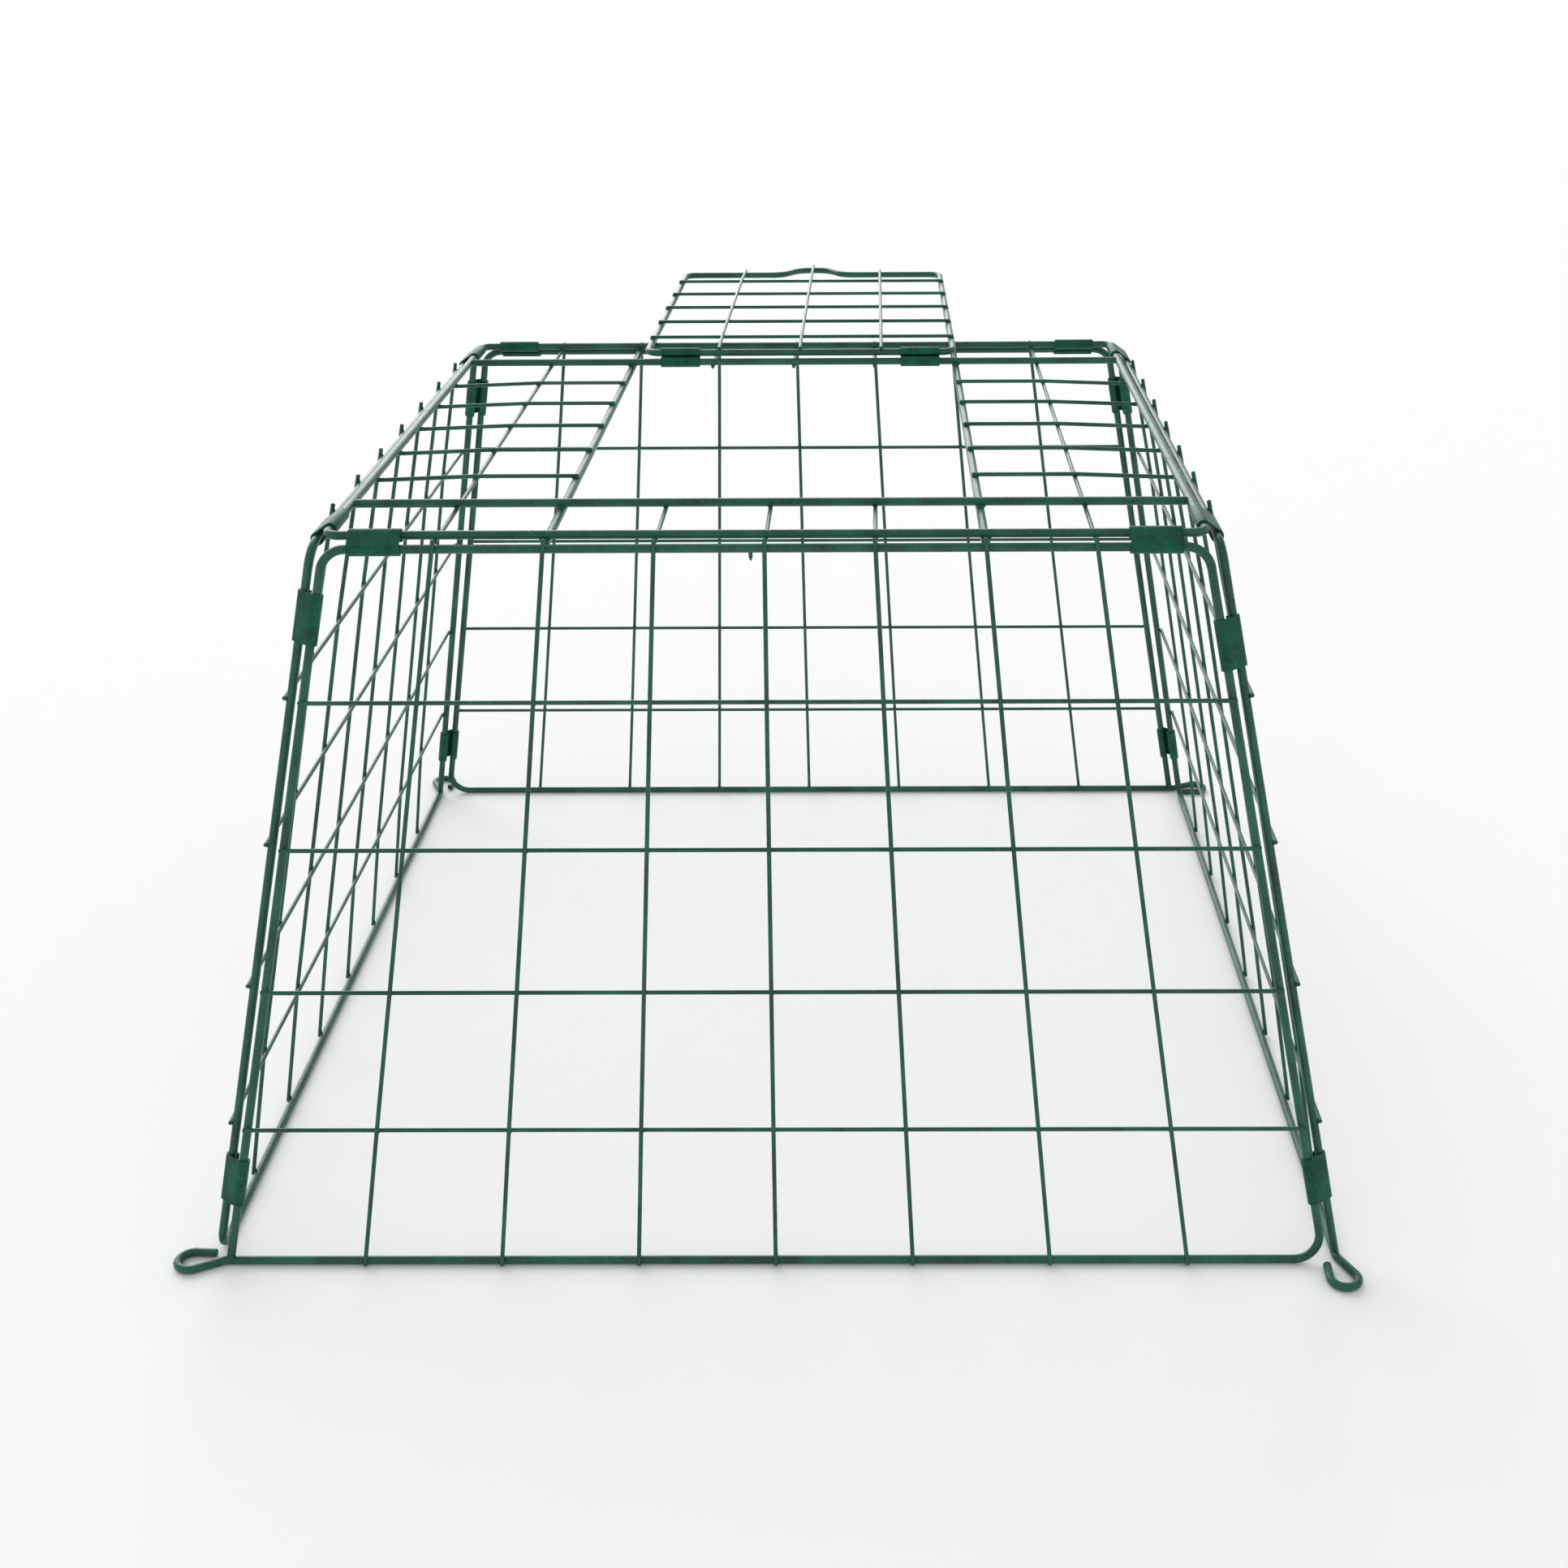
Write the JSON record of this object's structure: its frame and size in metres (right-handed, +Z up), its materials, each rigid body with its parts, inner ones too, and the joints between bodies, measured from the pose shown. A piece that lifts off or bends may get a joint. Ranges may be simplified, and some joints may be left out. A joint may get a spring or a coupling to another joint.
{
  "type": "ground cage with top hatch",
  "caption": "Four-sided tapering cage of green coated wire mesh, open underneath, with a mesh hatch door on top and a peg eyelet at each ground corner.",
  "frame": {"origin": "middle of the base, on the ground, midway between the four corner posts", "axes": "+Z up, -Y towards the front, +Y towards the side that the open door lies over, +X to the right seen from the front"},
  "size_m": [0.5958, 0.754, 0.361],
  "materials": {
    "frame_wire": "satin green plastic coating on steel wire",
    "mesh_wire": "satin green plastic coating on thin steel wire",
    "coated_sheet": "satin green coating on rolled steel sheet"
  },
  "bodies": {
    "cage": {"front_frame": "frame_wire", "right_frame": "frame_wire", "back_frame": "frame_wire", "left_frame": "frame_wire", "front_upright_wires": "mesh_wire", "right_upright_wires": "mesh_wire", "back_upright_wires": "mesh_wire", "left_upright_wires": "mesh_wire", "front_cross_wires": "mesh_wire", "right_cross_wires": "mesh_wire", "back_cross_wires": "mesh_wire", "left_cross_wires": "mesh_wire", "top_frame": "frame_wire", "front_cross_rail": "frame_wire", "rear_cross_rail": "frame_wire", "left_hatch_bar": "frame_wire", "right_hatch_bar": "frame_wire", "left_strip_wires": "mesh_wire", "right_strip_wires": "mesh_wire", "left_long_wire": "mesh_wire", "right_long_wire": "mesh_wire", "front_stub_wires": "mesh_wire", "rear_stub_wires": "mesh_wire", "front_left_upper_sleeve": "coated_sheet", "front_left_lower_sleeve": "coated_sheet", "front_right_upper_sleeve": "coated_sheet", "front_right_lower_sleeve": "coated_sheet", "back_right_upper_sleeve": "coated_sheet", "back_right_lower_sleeve": "coated_sheet", "back_left_upper_sleeve": "coated_sheet", "back_left_lower_sleeve": "coated_sheet", "front_edge_left_sleeve": "coated_sheet", "front_edge_right_sleeve": "coated_sheet", "right_edge_front_sleeve": "coated_sheet", "right_edge_back_sleeve": "coated_sheet", "back_edge_right_sleeve": "coated_sheet", "back_edge_left_sleeve": "coated_sheet", "left_edge_back_sleeve": "coated_sheet", "left_edge_front_sleeve": "coated_sheet"},
    "hinge_sleeves": {"left_hinge_sleeve": "coated_sheet", "right_hinge_sleeve": "coated_sheet"},
    "door": {"door_frame": "frame_wire", "door_cross_wires": "mesh_wire", "door_long_wires": "mesh_wire"}
  },
  "joints": [
    {"name": "sleeve_swing", "type": "hinge", "parent": "cage", "child": "hinge_sleeves", "pos_m": [0, 0.152, 0.3506], "axis": [1, 0, 0], "range_deg": [0, 71.1]},
    {"name": "door_swing", "type": "hinge", "parent": "hinge_sleeves", "child": "door", "pos_m": [0.004, 0.15549, 0.35548], "axis": [1, 0, 0], "range_deg": [0, 109.19]}
  ]
}
